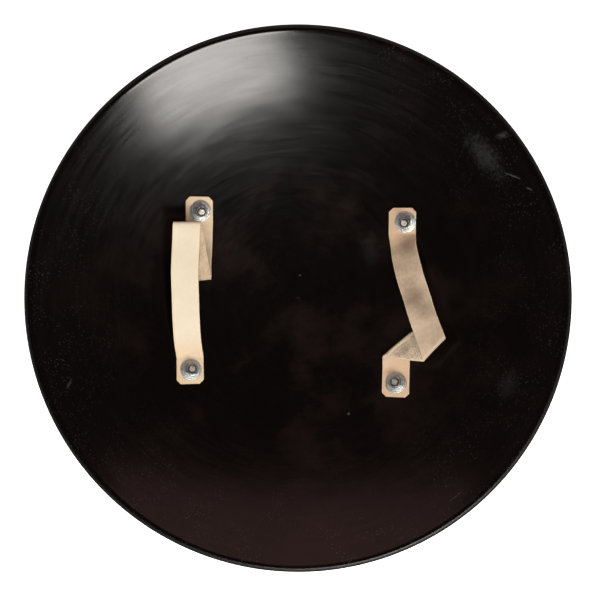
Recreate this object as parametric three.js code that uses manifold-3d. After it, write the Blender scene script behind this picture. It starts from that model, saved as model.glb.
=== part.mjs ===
// A round domed shield of black painted sheet steel with a rolled edge.
// Two leather straps cross its hollow side. A bolt, a wide washer and a lock nut hold each strap end.
// Millimetres, +Z up. The shield lies on its dome with the hollow side up.
// The origin is the middle of the small flat spot that it lies on.

import * as THREE from "three";
import { mergeVertices } from "three/addons/utils/BufferGeometryUtils.js";
import Module from "manifold-3d";

// Dish
const outerDiameter = 600; // across the rolled edge
const domeRadius = 600; // outer face of the dome
const sheetThickness = 1.5;
const edgeRollDiameter = 9; // the sheet's edge rolled round a wire
const flatSpotDiameter = 60;

// Places of the four fixings
const fixingSpacing = 232; // left pair to right pair
const armBoltSpacing = 180; // upper to lower bolt of the arm strap, on the left
const gripBoltSpacing = 182; // upper to lower bolt of the grip strap, on the right
const fixingRise = 2; // middle of the four above the middle of the dish

// Bolt, washer and nut
const boltDiameter = 8;
const boltHeadDiameter = 20;
const boltHeadHeight = 4.5;
const boltHeadEdge = 0.8; // upright rim of the domed head
const boltEndShowing = 1.6; // bolt end proud of the nut
const boltEndChamfer = 0.8;
const washerDiameter = 24;
const washerThickness = 2;
const nutAcrossFlats = 13;
const nutHexHeight = 6.4;
const nutCollarHeight = 1.8; // the round collar that holds the locking ring
const nutCollarWall = 1.85; // collar round the thread

// Straps
const strapWidth = 30;
const strapThickness = 2.5;
const strapEndMargin = 15.3; // bolt centre to the strap's end
const strapCornerCut = 4.5;
const foldInnerRadius = 1.3; // inside of the leather where it doubles back

// Clearances
const restGap = 0.3; // between pieces that rest on each other
const holeClearance = 1; // a hole's diameter over the bolt's
const threadGap = 0.3; // round the bolt inside the nut
const tabMargin = 2; // flat leather past the washer's edge

// Fineness of the round shapes
const dishSides = 64;
const dishArcSteps = 10;
const edgeRollSteps = 9;
const fixingSides = 20;
const headArcSteps = 4;
const foldSteps = 5; // per half turn
const stationsPerKey = 2;

const wasm = await Module();
wasm.setup();

// A closed geometry as a solid that can be joined and cut.
function solidOf(geometry) {
  const bare = geometry.clone();
  bare.deleteAttribute("normal");
  bare.deleteAttribute("uv");
  const merged = mergeVertices(bare, 1e-4);
  const mesh = new wasm.Mesh({
    numProp: 3,
    vertProperties: merged.attributes.position.array,
    triVerts: new Uint32Array(merged.index.array),
  });
  return new wasm.Manifold(mesh);
}

function geometryOf(solid) {
  const mesh = solid.getMesh();
  const geometry = new THREE.BufferGeometry();
  geometry.setAttribute("position", new THREE.BufferAttribute(mesh.vertProperties, 3));
  geometry.setIndex(new THREE.BufferAttribute(mesh.triVerts, 1));
  geometry.computeVertexNormals();
  return geometry;
}

// A profile of [radius, height] points turned round the Z axis.
function turned(profile, sides) {
  const points = profile.map(([radius, height]) => new THREE.Vector2(radius, height));
  return new THREE.LatheGeometry(points, sides).rotateX(Math.PI / 2);
}

// The dome is a ball's cap. Its centre is above the flat spot.
const flatSpotRadius = flatSpotDiameter / 2;
const insideRadius = domeRadius - sheetThickness;
const domeCentreHeight = Math.sqrt(domeRadius ** 2 - flatSpotRadius ** 2);

function insideHeight(x, y) {
  return domeCentreHeight - Math.sqrt(insideRadius ** 2 - x ** 2 - y ** 2);
}

// The angle between two sides of a triangle, from its three lengths.
function cornerAngle(side, otherSide, opposite) {
  return Math.acos((side ** 2 + otherSide ** 2 - opposite ** 2) / (2 * side * otherSide));
}

// The rolled edge is round and runs on from the inner face, so it hangs outside the dome's ball.
function dishProfile() {
  const rollRadius = edgeRollDiameter / 2;
  const rollReach = insideRadius + rollRadius; // dome centre to roll centre
  const rimAngle = Math.asin((outerDiameter / 2 - rollRadius) / rollReach);
  const rollX = rollReach * Math.sin(rimAngle);
  const rollZ = domeCentreHeight - rollReach * Math.cos(rimAngle);
  const meetAngle = rimAngle - cornerAngle(rollReach, domeRadius, rollRadius);
  const onBall = (radius, angle) => [
    radius * Math.sin(angle),
    domeCentreHeight - radius * Math.cos(angle),
  ];
  const profile = [[0, 0]];
  const outerStart = Math.asin(flatSpotRadius / domeRadius);
  for (let step = 0; step <= dishArcSteps; step += 1) {
    const angle = THREE.MathUtils.lerp(outerStart, meetAngle, step / dishArcSteps);
    profile.push(onBall(domeRadius, angle));
  }
  const rollEnd = Math.PI / 2 + rimAngle;
  const rollStart = rollEnd - 2 * Math.PI + cornerAngle(rollReach, rollRadius, domeRadius);
  for (let step = 1; step < edgeRollSteps; step += 1) {
    const angle = THREE.MathUtils.lerp(rollStart, rollEnd, step / edgeRollSteps);
    profile.push([rollX + rollRadius * Math.cos(angle), rollZ + rollRadius * Math.sin(angle)]);
  }
  const innerEnd = Math.acos((domeCentreHeight - sheetThickness) / insideRadius);
  for (let step = 0; step <= dishArcSteps; step += 1) {
    const angle = THREE.MathUtils.lerp(rimAngle, innerEnd, step / dishArcSteps);
    profile.push(onBall(insideRadius, angle));
  }
  profile.push([0, sheetThickness]);
  return profile;
}

// Each fixing stands square to the dish at its own place.
const columns = {
  left: { x: -fixingSpacing / 2, pitch: armBoltSpacing },
  right: { x: fixingSpacing / 2, pitch: gripBoltSpacing },
};
const rows = { upper: 0.5, lower: -0.5 };
const fixings = [];
for (const [row, share] of Object.entries(rows)) {
  for (const [column, { x, pitch }] of Object.entries(columns)) {
    fixings.push({ name: `${row}_${column}`, column, pitch, x, y: fixingRise + share * pitch });
  }
}

// The frame of a fixing: its origin on the dish's inner face, its Z axis towards the dome's centre.
function fixingFrame({ x, y }) {
  const foot = new THREE.Vector3(x, y, insideHeight(x, y));
  const inward = new THREE.Vector3(0, 0, domeCentreHeight).sub(foot).normalize();
  const turn = new THREE.Quaternion().setFromUnitVectors(new THREE.Vector3(0, 0, 1), inward);
  return new THREE.Matrix4().compose(foot, turn, new THREE.Vector3(1, 1, 1));
}

// A drill through the sheet and the strap at a fixing.
function holeDrill(fixing) {
  const radius = (boltDiameter + holeClearance) / 2;
  const length = 4 * (sheetThickness + strapThickness + restGap);
  const drill = new THREE.CylinderGeometry(radius, radius, length, fixingSides);
  return solidOf(drill.rotateX(Math.PI / 2).applyMatrix4(fixingFrame(fixing)));
}

function dishGeometry() {
  let dish = solidOf(turned(dishProfile(), dishSides));
  for (const fixing of fixings) {
    dish = dish.subtract(holeDrill(fixing));
  }
  return geometryOf(dish);
}

// How far the dish rises out of its own tangent plane at a distance from the touching point.
function bowlRise(distance) {
  return insideRadius - Math.sqrt(insideRadius ** 2 - distance ** 2);
}

// Heights along a fixing's axis, from the dish's inner face. The leather is straight across the
// strap and bowed along it, so its top is higher under the washer than at the hole's corners.
const leatherTop =
  restGap + bowlRise(strapWidth / 2) + strapThickness + bowlRise(washerDiameter / 2);
const washerBottom = leatherTop + restGap;
const nutBottom = washerBottom + washerThickness + restGap;
const nutTop = nutBottom + nutHexHeight + nutCollarHeight;
const headSeat = -(sheetThickness + restGap);

function boltGeometry() {
  const headRadius = boltHeadDiameter / 2;
  const crownHeight = boltHeadHeight - boltHeadEdge;
  const crownRadius = (headRadius ** 2 + crownHeight ** 2) / (2 * crownHeight);
  const crownCentre = headSeat - boltHeadHeight + crownRadius;
  const crownAngle = Math.asin(headRadius / crownRadius);
  const shankRadius = boltDiameter / 2;
  const boltTop = nutTop + boltEndShowing;
  const profile = [];
  for (let step = 0; step <= headArcSteps; step += 1) {
    const angle = (crownAngle * step) / headArcSteps;
    profile.push([crownRadius * Math.sin(angle), crownCentre - crownRadius * Math.cos(angle)]);
  }
  profile.push([headRadius, headSeat]);
  profile.push([shankRadius, headSeat]);
  profile.push([shankRadius, boltTop - boltEndChamfer]);
  profile.push([shankRadius - boltEndChamfer, boltTop]);
  profile.push([0, boltTop]);
  return turned(profile, fixingSides);
}

function washerGeometry() {
  const outer = washerDiameter / 2;
  const inner = (boltDiameter + holeClearance) / 2;
  const top = washerBottom + washerThickness;
  const profile = [
    [inner, washerBottom],
    [outer, washerBottom],
    [outer, top],
    [inner, top],
    [inner, washerBottom],
  ];
  return turned(profile, fixingSides);
}

// A hexagon with its corners turned down, and a round collar on top.
function nutGeometry() {
  const cornerRadius = nutAcrossFlats / Math.sqrt(3);
  const cornerDrop = (cornerRadius - nutAcrossFlats / 2) * Math.tan(Math.PI / 6);
  const hexTop = nutBottom + nutHexHeight;
  const hexagon = new THREE.CylinderGeometry(cornerRadius, cornerRadius, nutHexHeight, 6);
  hexagon.rotateX(Math.PI / 2).translate(0, 0, nutBottom + nutHexHeight / 2);
  const turnedDown = turned(
    [
      [0, nutBottom],
      [nutAcrossFlats / 2, nutBottom],
      [cornerRadius, nutBottom + cornerDrop],
      [cornerRadius, hexTop - cornerDrop],
      [nutAcrossFlats / 2, hexTop],
      [0, hexTop],
    ],
    fixingSides,
  );
  const boreRadius = boltDiameter / 2 + threadGap;
  const collarRadius = boltDiameter / 2 + nutCollarWall;
  const collar = turned(
    [
      [0, nutBottom],
      [collarRadius, nutBottom],
      [collarRadius, nutTop],
      [0, nutTop],
    ],
    fixingSides,
  );
  const bore = new THREE.CylinderGeometry(boreRadius, boreRadius, 2 * nutTop, fixingSides);
  bore.rotateX(Math.PI / 2).translate(0, 0, nutBottom);
  const nut = solidOf(hexagon).intersect(solidOf(turnedDown)).add(solidOf(collar));
  return geometryOf(nut.subtract(solidOf(bore)));
}

// How a strap lies between its two bolts. Every place is a share of the bolts' distance:
// down is measured from the upper bolt, side from the bolts' line, rise from lying on the dish.
// turn is the angle of the line across the strap there, and plies counts the layers underneath.
// lean is how steeply the right edge is raised over the left one. At a fold the strap doubles back,
// up or down a layer. Angles are in degrees.
const armStrap = {
  column: "left",
  upperEnd: { side: -0.004, turn: 3 },
  lowerEnd: { side: -0.002, turn: 4.5 },
  keys: [
    { side: 0.005, down: 0.22, turn: 3, rise: 0.02, plies: 0 },
    { side: 0.007, down: 0.34, turn: 5, rise: 0.05, plies: 0 },
    { fold: "up", side: 0.014, down: 0.431, turn: 7.5, rise: 0.068, plies: 0 },
    { side: -0.024, down: 0.262, turn: 8, rise: 0.094, plies: 1 },
    { fold: "up", side: -0.065, down: 0.087, turn: 5, rise: 0.13, plies: 1 },
    { side: -0.066, down: 0.2, turn: 3, rise: 0.11, plies: 2 },
    { side: -0.065, down: 0.38, turn: 2, rise: 0.096, plies: 2 },
    { side: -0.054, down: 0.53, turn: 4, rise: 0.1, plies: 1 },
    { side: -0.041, down: 0.7, turn: 5.5, rise: 0.08, plies: 0 },
    { side: -0.026, down: 0.83, turn: 5.5, rise: 0.03, plies: 0 },
  ],
};
const gripStrap = {
  column: "right",
  upperEnd: { side: -0.022, turn: 3 },
  lowerEnd: { side: -0.004, turn: 1.5 },
  keys: [
    { side: -0.006, down: 0.157, turn: 3, rise: 0.037, plies: 0, lean: 22 },
    { side: 0.009, down: 0.23, turn: 6, rise: 0.077, plies: 0, lean: 14 },
    { side: 0.042, down: 0.343, turn: 16, rise: 0.117, plies: 0 },
    { side: 0.084, down: 0.456, turn: 20, rise: 0.146, plies: 0 },
    { side: 0.125, down: 0.573, turn: 21, rise: 0.17, plies: 0 },
    { side: 0.156, down: 0.649, turn: 35, rise: 0.182, plies: 0 },
    { fold: "down", side: 0.202, down: 0.772, turn: 50, rise: 0.152, plies: 1 },
    { side: 0.097, down: 0.767, turn: 47, rise: 0.093, plies: 1 },
    { fold: "down", side: -0.008, down: 0.762, turn: 44, rise: 0.025, plies: 0 },
  ],
};

const foldRadius = foldInnerRadius + strapThickness / 2;
const tabReach = washerDiameter / 2 + tabMargin; // leather that lies flat on either side of a bolt

function planDirection(degrees) {
  const angle = THREE.MathUtils.degToRad(degrees);
  return new THREE.Vector2(Math.cos(angle), Math.sin(angle));
}

// The line across a strap's middle layer: its two ends, at a height over the dish's inner face.
function acrossLine({ centre, direction, halfSpan, lift, lean = 0 }) {
  const reach = halfSpan * Math.cos(THREE.MathUtils.degToRad(lean));
  const tip = halfSpan * Math.sin(THREE.MathUtils.degToRad(lean));
  const end = (side) => {
    const x = centre.x + side * reach * direction.x;
    const y = centre.y + side * reach * direction.y;
    return new THREE.Vector3(x, y, insideHeight(x, y) + lift + side * tip);
  };
  return { left: end(-1), right: end(1) };
}

// The middle layer of leather that lies on the dish, measured straight up.
function lyingLift(fixing) {
  const slope = Math.asin(Math.hypot(fixing.x, fixing.y) / insideRadius);
  return (restGap + strapThickness / 2) / Math.cos(slope);
}

// The lines across one strap end, from its cut corners to the flat leather's far side.
// inward is the way along the strap from this end, 1 up the dish and -1 down it.
function endLines(fixing, end, inward) {
  const direction = planDirection(end.turn);
  const along = new THREE.Vector2(-direction.y, direction.x).multiplyScalar(inward);
  const lift = lyingLift(fixing);
  const line = (distance, halfSpan) => {
    const bolt = new THREE.Vector2(fixing.x + end.side * fixing.pitch, fixing.y);
    const centre = bolt.addScaledVector(along, distance);
    return acrossLine({ centre, direction, halfSpan, lift });
  };
  const half = strapWidth / 2;
  return {
    tip: line(-strapEndMargin, half - strapCornerCut),
    rest: [
      line(strapCornerCut - strapEndMargin, half),
      line(0, half),
      line(tabReach - tabMargin, half),
      line(tabReach, half),
    ],
  };
}

// The lines across a fold: the strap runs onto a round of the fold's radius, half way round it
// and off again one layer up or down, sliding along the fold where it meets it at a slant.
function foldLines(key, before, after) {
  const heading = key.centre.clone().sub(before).normalize();
  const leaving = after.clone().sub(key.centre).normalize();
  const outward = new THREE.Vector2(-key.direction.y, key.direction.x);
  if (outward.dot(heading) < 0) {
    outward.negate();
  }
  const arriveSlide = key.direction.dot(heading) / outward.dot(heading);
  const leaveSlide = -key.direction.dot(leaving) / outward.dot(leaving);
  const climb = key.fold === "up" ? 1 : -1;
  const lines = [];
  for (let step = 0; step <= foldSteps; step += 1) {
    const angle = Math.PI * (step / foldSteps - 0.5);
    const slide = angle * foldRadius * (angle < 0 ? arriveSlide : leaveSlide);
    const centre = key.centre
      .clone()
      .addScaledVector(outward, foldRadius * (Math.cos(angle) - 1))
      .addScaledVector(key.direction, slide);
    const lift = key.lift + foldRadius * (1 + climb * Math.sin(angle));
    lines.push(acrossLine({ ...key, centre, lift }));
  }
  return lines;
}

// All the lines across a strap, from end to end.
function strapLines(strap, upper, lower) {
  const { pitch } = upper;
  const placed = strap.keys.map((key) => ({
    ...key,
    centre: new THREE.Vector2(upper.x + key.side * pitch, upper.y - key.down * pitch),
    direction: planDirection(key.turn),
    lift: lyingLift(upper) + key.rise * pitch + key.plies * 2 * foldRadius,
  }));
  const startCentre = new THREE.Vector2(upper.x, upper.y - tabReach);
  const finishCentre = new THREE.Vector2(lower.x, lower.y + tabReach);
  const start = endLines(upper, strap.upperEnd, -1);
  const finish = endLines(lower, strap.lowerEnd, 1);
  const bendLines = [...start.rest];
  placed.forEach((key, index) => {
    const before = placed[index - 1]?.centre ?? startCentre;
    const after = placed[index + 1]?.centre ?? finishCentre;
    const heading = after.clone().sub(before);
    const arriving = key.fold ? key.centre.clone().sub(before) : heading;
    const slant = Math.abs(arriving.normalize().cross(key.direction));
    const line = { ...key, halfSpan: strapWidth / 2 / slant };
    bendLines.push(...(key.fold ? foldLines(line, before, after) : [acrossLine(line)]));
  });
  bendLines.push(...[...finish.rest].reverse());
  const leftEdge = new THREE.CatmullRomCurve3(bendLines.map((line) => line.left));
  const rightEdge = new THREE.CatmullRomCurve3(bendLines.map((line) => line.right));
  const count = (bendLines.length - 1) * stationsPerKey;
  const lines = [start.tip];
  for (let step = 0; step <= count; step += 1) {
    const left = leftEdge.getPoint(step / count);
    const right = rightEdge.getPoint(step / count);
    lines.push({ left, right });
  }
  lines.push(finish.tip);
  return lines;
}

// A strap of one thickness on the lines across it: four corners at each line, joined all round.
function ribbonGeometry(lines) {
  const positions = [];
  lines.forEach((line, index) => {
    const before = lines[Math.max(index - 1, 0)];
    const after = lines[Math.min(index + 1, lines.length - 1)];
    const across = line.right.clone().sub(line.left);
    for (const edge of ["left", "right"]) {
      const along = after[edge].clone().sub(before[edge]);
      const outward = along.cross(across).setLength(strapThickness / 2);
      const over = line[edge].clone().add(outward);
      const under = line[edge].clone().sub(outward);
      positions.push(...over.toArray(), ...under.toArray());
    }
  });
  const ring = [0, 1, 3, 2]; // left over, left under, right under, right over
  const faces = [];
  const quad = (a, b, c, d) => faces.push(a, b, c, a, c, d);
  for (let index = 0; index < lines.length - 1; index += 1) {
    for (let side = 0; side < 4; side += 1) {
      const here = 4 * index + ring[side];
      const beside = 4 * index + ring[(side + 1) % 4];
      quad(here, beside, beside + 4, here + 4);
    }
  }
  const last = 4 * (lines.length - 1);
  quad(ring[3], ring[2], ring[1], ring[0]);
  quad(last + ring[0], last + ring[1], last + ring[2], last + ring[3]);
  const geometry = new THREE.BufferGeometry();
  geometry.setAttribute("position", new THREE.Float32BufferAttribute(positions, 3));
  geometry.setIndex(faces);
  return geometry;
}

function strapGeometry(strap) {
  const [upper, lower] = fixings.filter((fixing) => fixing.column === strap.column);
  const ribbon = solidOf(ribbonGeometry(strapLines(strap, upper, lower)));
  return geometryOf(ribbon.subtract(holeDrill(upper)).subtract(holeDrill(lower)));
}

const blackPaint = { color: 0x0b0a0a, roughness: 0.32, metalness: 0 };
const zincPlate = { color: 0xb9bdc0, roughness: 0.3, metalness: 1 };
const leather = { color: 0xe2c79f, roughness: 0.62, metalness: 0 };

function piece(name, geometry, finish) {
  const mesh = new THREE.Mesh(geometry, new THREE.MeshStandardMaterial(finish));
  mesh.name = name;
  return mesh;
}

// The bolt, washer and nut of one fixing, in the fixing's own frame.
function fixingGroup(fixing) {
  const group = new THREE.Group();
  group.add(piece(`bolt_${fixing.name}`, boltGeometry(), zincPlate));
  group.add(piece(`washer_${fixing.name}`, washerGeometry(), zincPlate));
  group.add(piece(`nut_${fixing.name}`, nutGeometry(), zincPlate));
  group.applyMatrix4(fixingFrame(fixing));
  return group;
}

const shield = new THREE.Group();
shield.add(piece("shield_dish", dishGeometry(), blackPaint));
shield.add(piece("arm_strap", strapGeometry(armStrap), leather));
shield.add(piece("grip_strap", strapGeometry(gripStrap), leather));
for (const fixing of fixings) {
  shield.add(fixingGroup(fixing));
}

export default shield;
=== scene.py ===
"""Looks of a domed round shield that lies on its dome: black painted sheet steel with a rolled
edge, and two leather straps held by bolts, washers and lock nuts. Metres, +Z up."""
import math

import bmesh
import bpy
from mathutils import Matrix, Vector, noise


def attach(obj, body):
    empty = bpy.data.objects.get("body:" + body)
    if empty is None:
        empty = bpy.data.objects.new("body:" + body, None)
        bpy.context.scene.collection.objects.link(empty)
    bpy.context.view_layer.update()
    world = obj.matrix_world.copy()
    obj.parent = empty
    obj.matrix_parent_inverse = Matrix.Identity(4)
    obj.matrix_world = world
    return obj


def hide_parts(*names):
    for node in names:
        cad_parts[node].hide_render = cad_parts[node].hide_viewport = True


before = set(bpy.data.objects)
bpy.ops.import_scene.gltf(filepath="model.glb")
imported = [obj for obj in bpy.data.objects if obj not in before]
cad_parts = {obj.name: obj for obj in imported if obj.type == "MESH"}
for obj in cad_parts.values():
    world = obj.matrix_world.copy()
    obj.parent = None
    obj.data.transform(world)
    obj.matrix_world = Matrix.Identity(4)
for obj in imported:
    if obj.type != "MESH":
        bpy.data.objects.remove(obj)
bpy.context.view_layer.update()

# Dish
OUTER_DIAMETER = 0.600
DOME_RADIUS = 0.600
SHEET_THICKNESS = 0.0015
EDGE_ROLL_DIAMETER = 0.009
FLAT_SPOT_DIAMETER = 0.060
ROLL_SEAM_GAP = 0.0005  # between the rolled sheet's cut edge and the dome
RIM_FLATTENING = math.radians(13)  # how much less the sheet slopes where it goes into the roll
RIM_SWELL_REACH = 0.004  # how fast the sheet comes back to the dome inside that
RIM_SWELL_END = 6  # reaches after which the swell is gone

# Places of the four fixings
FIXING_SPACING = 0.232
ARM_BOLT_SPACING = 0.180
GRIP_BOLT_SPACING = 0.182
FIXING_RISE = 0.002

# Bolt, washer and nut
BOLT_DIAMETER = 0.008
BOLT_HEAD_DIAMETER = 0.020
BOLT_HEAD_HEIGHT = 0.0045
BOLT_HEAD_EDGE = 0.0008
BOLT_HEAD_ROUND = 0.0002
BOLT_END_SHOWING = 0.0016
BOLT_END_CHAMFER = 0.0008
THREAD_PITCH = 0.00125
THREAD_DEPTH = 0.0006
THREADED_LENGTH = 0.004  # the stretch near the bolt's end that shows its thread
WASHER_DIAMETER = 0.024
WASHER_THICKNESS = 0.002
WASHER_UPPER_ROUND = 0.00025
WASHER_LOWER_ROUND = WASHER_THICKNESS / 12
WASHER_CROWN = 0.0013  # how far the washer falls away outside the nut
WASHER_CROWN_BEND = 1.35  # 1 is a cone, and more is rounder
WASHER_RIPPLE = 0.00010  # depth of the faint rings on the crown
WASHER_RIPPLES = 3
NUT_ACROSS_FLATS = 0.013
NUT_HEX_HEIGHT = 0.0064
NUT_COLLAR_HEIGHT = 0.0018
NUT_COLLAR_WALL = 0.00185
NUT_COLLAR_LIP = 0.0007
LOCK_RING_DEPTH = 0.0005

# Straps
STRAP_WIDTH = 0.030
STRAP_THICKNESS = 0.0025
STRAP_END_MARGIN = 0.0153
STRAP_CORNER_CUT = 0.0045
STRAP_EDGE_ROUND = 0.0005
STRAP_CUP = 0.0002  # how far the middle of a free strap sinks between its edges
STRAP_WAVE = 0.0003  # how far a free strap's surface rises and sinks
WAVE_SCALE = 45  # waves a metre
TIP_THINNING = 0.75  # thickness of a strap's cut tip, as a share
FOLD_INNER_RADIUS = 0.0013

# Clearances
REST_GAP = 0.0003
HOLE_CLEARANCE = 0.001
THREAD_GAP = 0.0003
TAB_MARGIN = 0.002

# Fineness
DISH_SIDES = 256
DISH_ARC_STEPS = 64
EDGE_ROLL_STEPS = 28
RIM_STEPS = 30
WIRE_STEPS = 8
FIXING_SIDES = 72
HEAD_ARC_STEPS = 12
THREAD_STEPS = 8  # rings a turn, or a few more
FOLD_STEPS = 5
STATION_SPACING = 0.0016
STRAP_COLUMNS = 20
EDGE_STEPS = 3
WASHER_TOP_STEPS = 30
LIP_STEPS = 8
NO_RADIUS = 1e-9  # a ring that is smaller than this is one point
SHARP_EDGE = math.radians(32)

# How each strap lies, as shares of its bolts' distance and angles in degrees. A key is a line
# across the strap. Its rise is over the leather's own rest height, and plies are the layers of
# folded leather below it.
ARM_STRAP = {
    "column": "left",
    "upper_end": {"side": -0.004, "turn": 3},
    "lower_end": {"side": -0.002, "turn": 4.5},
    "keys": [
        {"side": 0.005, "down": 0.22, "turn": 3, "rise": 0.02, "plies": 0},
        {"side": 0.007, "down": 0.34, "turn": 5, "rise": 0.05, "plies": 0},
        {"fold": "up", "side": 0.014, "down": 0.431, "turn": 7.5, "rise": 0.068, "plies": 0},
        {"side": -0.024, "down": 0.262, "turn": 8, "rise": 0.094, "plies": 1},
        {"fold": "up", "side": -0.065, "down": 0.087, "turn": 5, "rise": 0.13, "plies": 1},
        {"side": -0.066, "down": 0.2, "turn": 3, "rise": 0.11, "plies": 2},
        {"side": -0.065, "down": 0.38, "turn": 2, "rise": 0.096, "plies": 2},
        {"side": -0.054, "down": 0.53, "turn": 4, "rise": 0.1, "plies": 1},
        {"side": -0.041, "down": 0.7, "turn": 5.5, "rise": 0.08, "plies": 0},
        {"side": -0.026, "down": 0.83, "turn": 5.5, "rise": 0.03, "plies": 0},
    ],
}
GRIP_STRAP = {
    "column": "right",
    "upper_end": {"side": -0.022, "turn": 3},
    "lower_end": {"side": -0.004, "turn": 1.5},
    "keys": [
        {"side": -0.006, "down": 0.157, "turn": 3, "rise": 0.037, "plies": 0, "lean": 22},
        {"side": 0.009, "down": 0.23, "turn": 6, "rise": 0.077, "plies": 0, "lean": 14},
        {"side": 0.042, "down": 0.343, "turn": 16, "rise": 0.117, "plies": 0},
        {"side": 0.084, "down": 0.456, "turn": 20, "rise": 0.146, "plies": 0},
        {"side": 0.125, "down": 0.573, "turn": 21, "rise": 0.17, "plies": 0},
        {"side": 0.156, "down": 0.649, "turn": 35, "rise": 0.182, "plies": 0},
        {"fold": "down", "side": 0.202, "down": 0.772, "turn": 50, "rise": 0.152, "plies": 1},
        {"side": 0.097, "down": 0.767, "turn": 47, "rise": 0.093, "plies": 1},
        {"fold": "down", "side": -0.008, "down": 0.762, "turn": 44, "rise": 0.025, "plies": 0},
    ],
}

# The camera stands over the dish and is turned with the picture.
CAMERA_HEIGHT = 2.078
CAMERA_TURN = math.radians(3.4)
CAMERA_OFFSET = (0.00215, -0.00198)  # along the picture's own sides
CAMERA_LENS = 109.8

# Lights, by their direction round the dish and their angle off straight up. The soft fill isn't
# mirrored in gloss, so that it lights the leather without a second highlight on the paint.
KEY_LIGHT = {
    "around": -66, "off_top": 41, "distance": 1.47, "size": (0.52, 0.57), "power": 13.2,
    "colour": (1.0, 0.97, 0.93), "mirrored": True,
}
SOFT_FILL = {
    "around": -95, "off_top": 14, "distance": 1.9, "size": (1.4, 1.4), "power": 24,
    "colour": (1.0, 0.98, 0.95), "mirrored": False,
}
WARM_FILL = {
    "around": 91, "off_top": 41, "distance": 1.39, "size": (1.4, 0.62), "power": 1.35,
    "colour": (1.0, 0.5, 0.48), "mirrored": True,
}
WALL_LIGHT = 0.9
CEILING_LIGHT = 0.025
WALL_TOP, WALL_FULL = 0.42, 0.33  # sines of the heights between which the bright walls begin
FLOOR_REACH = 4.0
FLOOR_COLOUR = (0.9, 0.9, 0.9, 1)
FLOOR_ROUGHNESS = 0.8

# Colours, in linear light
WHITE = (1, 1, 1, 1)
PAINT_BLACK = (0.0018, 0.0010, 0.0007, 1)
WORN_BROWN = (0.0080, 0.0040, 0.0032, 1)
HAZE_WHITE = (0.8, 0.8, 0.82, 1)
# Dirt from handling and painted shade, for the grip strap's patches.
HANDLED_BROWN_AND_SHADE = (0.20, 0.140, 0.095, 1)
SHADED_TAN = (0.31, 0.19, 0.11, 1)
LOCK_RING_BLACK = (0.02, 0.02, 0.022, 1)
LOCK_RING_ROUGHNESS = 0.45
LOCK_RING_RELIEF = 0.00002

# The leather's two sides and its cut edge. The grain side has a colour of its own where the leather lies
# flat near the strap's ends. The arm strap's paler middle is painted sheen, and the grip strap's darker
# one is dirt from handling and painted shade. Darker patches are painted shade on the arm strap, and
# stains and painted shade on the grip strap. For each patch: how far along the strap and across it, its
# length and width, and how dark it is.
ARM_GRAIN_PAINTED_SHEEN_AND_SHADE = {
    "name": "arm_grain",
    # Painted sheen: the free middle is paler and less tan than the ends.
    "pale": (0.70, 0.615, 0.47, 1),
    "deep": (0.67, 0.57, 0.42, 1),
    "end_colour": (0.735, 0.555, 0.36, 1),
    "roughness": 0.55,
    "relief": 0.00004,
    "stain_and_shade_colour": SHADED_TAN,
    # Painted shade: patches on the ply that rises from the upper tab, and near the upper fold.
    "stains_and_shade": [
        {"along": 0.070, "across": 0.020, "size": (0.084, 0.060), "dark": 0.90},
        {"along": 0.168, "across": 0.018, "size": (0.050, 0.044), "dark": 0.10},
    ],
}
GRIP_GRAIN_STAINS_AND_SHADE = {
    "name": "grip_grain",
    # Darker than the arm strap's colours: dirt from handling and painted shade.
    "pale": (0.60, 0.46, 0.325, 1),
    "deep": (0.44, 0.325, 0.23, 1),
    "end_colour": (0.63, 0.425, 0.275, 1),
    "roughness": 0.5,
    "relief": 0.00004,
    "stain_and_shade_colour": HANDLED_BROWN_AND_SHADE,
    "stains_and_shade": [
        {"along": 0.012, "across": 0.006, "size": (0.056, 0.030), "dark": 0.20},
        {"along": 0.044, "across": 0.019, "size": (0.036, 0.046), "dark": 0.80},
        {"along": 0.068, "across": 0.014, "size": (0.090, 0.070), "dark": 0.16},
        {"along": 0.106, "across": 0.014, "size": (0.056, 0.054), "dark": 0.90},
        {"along": 0.126, "across": 0.020, "size": (0.030, 0.040), "dark": 0.42},
    ],
}
CUT_LEATHER = {
    "name": "leather_edge",
    "pale": (0.84, 0.66, 0.46, 1),
    "deep": (0.68, 0.48, 0.30, 1),
    "roughness": 0.75,
    "relief": 0.00008,
}
# Painted shade: a darker, browner copy of the flesh side for the arm strap.
ARM_FLESH_SHADED = {
    "name": "arm_flesh",
    "pale": (0.70, 0.54, 0.38, 1),
    "deep": (0.34, 0.24, 0.16, 1),
}
# Painted light: a paler copy of the flesh side for the grip strap, where it lies in shade.
GRIP_FLESH_LIT = {
    "name": "grip_flesh",
    "pale": (1.0, 0.82, 0.60, 1),
    "deep": (0.30, 0.22, 0.15, 1),
}
FLESH_ROUGHNESS = 0.85
FLESH_RELIEF = 0.0005
END_COLOUR_FADE = (0.034, 0.060)  # from the strap's end
END_COLOUR_DEEP = 0.86  # the deep places of the end's colour, as a share of it

# The zinc plate of the washers, a darker copy of it on the nuts and bolts that is painted shade, and
# where it is worn bright. The washers have rings of painted shade at some radii: round the nut's foot,
# across the face and at the rim.
WASHER_ZINC = {
    "name": "zinc_plate",
    "colour": (0.94, 0.98, 0.95, 1),
    "metallic": 0.88,
    "relief": 0.0005,
    "roughness": (0.26, 0.44),
    "shade_rings": (0.0082, 0.0102, 0.0121),
}
# Painted shade: a darker copy of the washers' zinc plate for the nuts and bolts.
SHADED_NUT_ZINC = {
    "name": "zinc_plate_dark",
    "colour": (0.50, 0.50, 0.48, 1),
    "metallic": 1.0,
    "relief": 0.00008,
    "roughness": (0.22, 0.34),
}
WORN_ZINC = {
    "name": "zinc_worn",
    "colour": (0.88, 0.82, 0.74, 1),
    "metallic": 0.9,
    "relief": 0.0006,
    "roughness": (0.24, 0.40),
}
FLECK_LIMITS = (0.40, 0.47)  # noise under the first is a dull fleck
FLECK_SHADE = 0.30
DULL_SHADE = 0.2
SHADE_RING_REACH = 0.0009
SHADE_RING_DARKNESS = 0.35

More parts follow.
